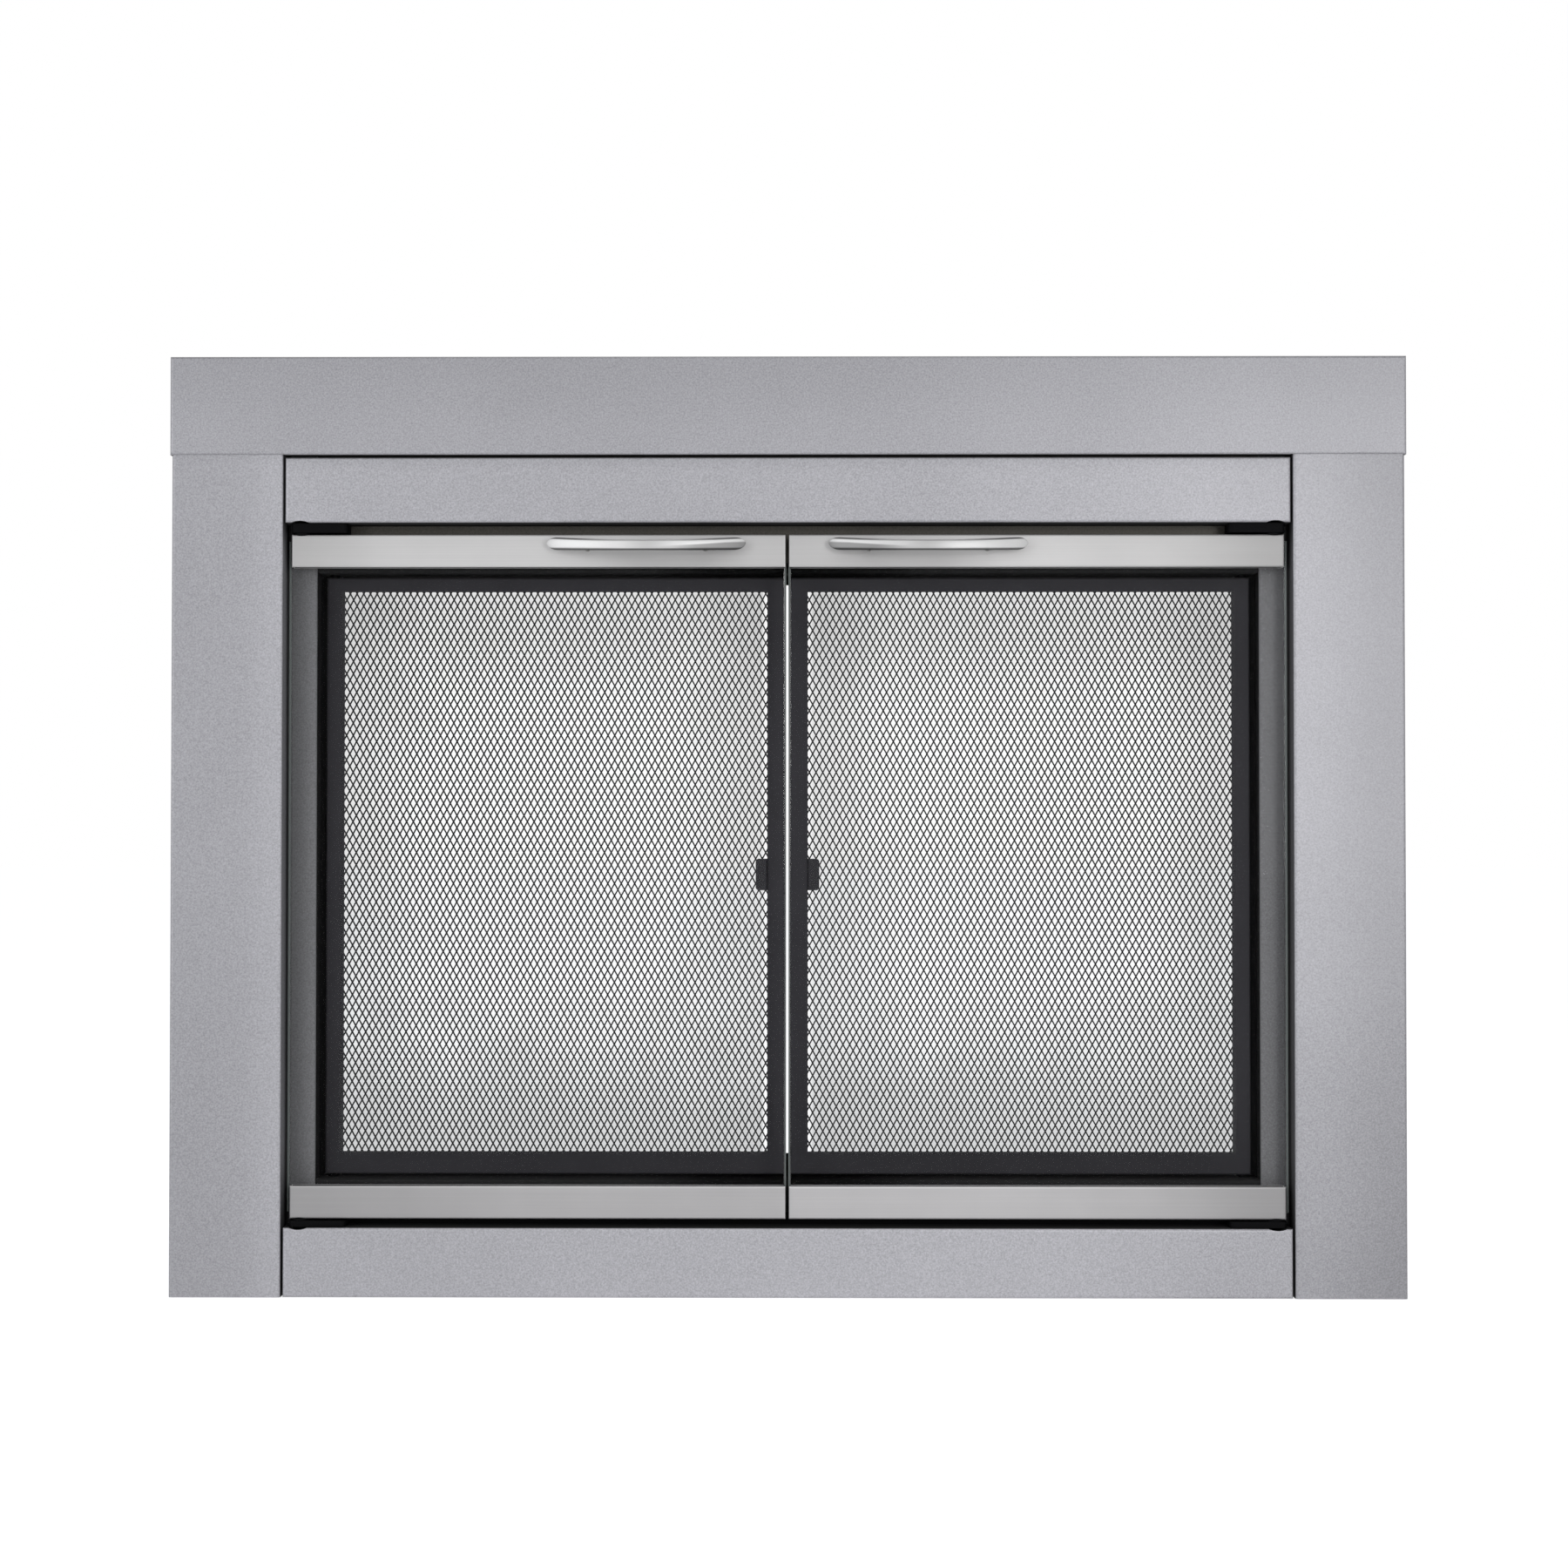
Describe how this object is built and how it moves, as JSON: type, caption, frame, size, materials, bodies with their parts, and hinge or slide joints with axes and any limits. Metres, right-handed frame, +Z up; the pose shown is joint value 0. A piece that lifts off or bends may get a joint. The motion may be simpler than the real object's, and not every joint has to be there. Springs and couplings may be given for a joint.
{
  "type": "fireplace glass door",
  "caption": "Satin nickel fireplace surround with frameless clamped glass doors on pivot hinges and, behind them, black framed mesh screen doors.",
  "frame": {"origin": "on the hearth, under the middle of the closed glass, on the centre line", "axes": "+X to the right seen from the front, +Y into the firebox, +Z up"},
  "size_m": [1.003, 0.1452, 0.762],
  "materials": {
    "nickel": "satin nickel",
    "clamp_nickel": "satin nickel",
    "handle_nickel": "satin",
    "black_steel": "matt black",
    "screen_black": "matt black",
    "zinc": "zinc plated",
    "rubber": "matt",
    "glass": "clear, lightly tinted"
  },
  "bodies": {
    "surround": {"lintel": "nickel", "left_column": "nickel", "right_column": "nickel", "top_rail": "nickel", "bottom_rail": "nickel", "left_jamb": "nickel", "right_jamb": "nickel", "head_flange": "nickel", "sill_flange": "nickel", "left_rear_post": "black_steel", "right_rear_post": "black_steel", "rear_head": "black_steel", "rear_sill": "black_steel", "left_top_hinge_bracket": "black_steel", "left_bottom_hinge_bracket": "black_steel", "left_top_hinge_screw": "zinc", "left_bottom_hinge_screw": "zinc", "left_magnet_catch": "black_steel", "left_floor_bracket": "zinc", "left_lintel_clamp": "zinc", "left_lintel_bolt": "zinc", "right_top_hinge_bracket": "black_steel", "right_bottom_hinge_bracket": "black_steel", "right_top_hinge_screw": "zinc", "right_bottom_hinge_screw": "zinc", "right_magnet_catch": "black_steel", "right_floor_bracket": "zinc", "right_lintel_clamp": "zinc", "right_lintel_bolt": "zinc"},
    "left_door": {"left_door_glass": "glass", "left_door_top_clamp": "clamp_nickel", "left_door_bottom_clamp": "clamp_nickel", "left_door_top_gasket": "rubber", "left_door_bottom_gasket": "rubber", "left_door_handle": "handle_nickel", "left_door_handle_inner_screw": "zinc", "left_door_handle_outer_screw": "zinc", "left_door_top_pin": "zinc", "left_door_bottom_pin": "zinc"},
    "right_door": {"right_door_glass": "glass", "right_door_top_clamp": "clamp_nickel", "right_door_bottom_clamp": "clamp_nickel", "right_door_top_gasket": "rubber", "right_door_bottom_gasket": "rubber", "right_door_handle": "handle_nickel", "right_door_handle_inner_screw": "zinc", "right_door_handle_outer_screw": "zinc", "right_door_top_pin": "zinc", "right_door_bottom_pin": "zinc"},
    "left_screen": {"left_screen_frame": "screen_black", "left_screen_mesh": "screen_black", "left_screen_pull_tab": "black_steel", "left_screen_top_pin": "zinc", "left_screen_bottom_pin": "zinc"},
    "right_screen": {"right_screen_frame": "screen_black", "right_screen_mesh": "screen_black", "right_screen_pull_tab": "black_steel", "right_screen_top_pin": "zinc", "right_screen_bottom_pin": "zinc"}
  },
  "joints": [
    {"name": "left_door_hinge", "type": "hinge", "parent": "surround", "child": "left_door", "pos_m": [-0.3957, 0, 0], "axis": [0, 0, -1], "range_deg": [0, 110]},
    {"name": "right_door_hinge", "type": "hinge", "parent": "surround", "child": "right_door", "pos_m": [0.3957, 0, 0], "axis": [0, 0, 1], "range_deg": [0, 110]},
    {"name": "left_screen_hinge", "type": "hinge", "parent": "surround", "child": "left_screen", "pos_m": [-0.3753, 0.035, 0], "axis": [0, 0, -1], "range_deg": [0, 90]},
    {"name": "right_screen_hinge", "type": "hinge", "parent": "surround", "child": "right_screen", "pos_m": [0.3753, 0.035, 0], "axis": [0, 0, 1], "range_deg": [0, 90]}
  ],
  "couplings": [
    {"joint": "left_screen_hinge", "follows": "left_door_hinge", "ratio": 0.818},
    {"joint": "right_screen_hinge", "follows": "right_door_hinge", "ratio": 0.818}
  ]
}
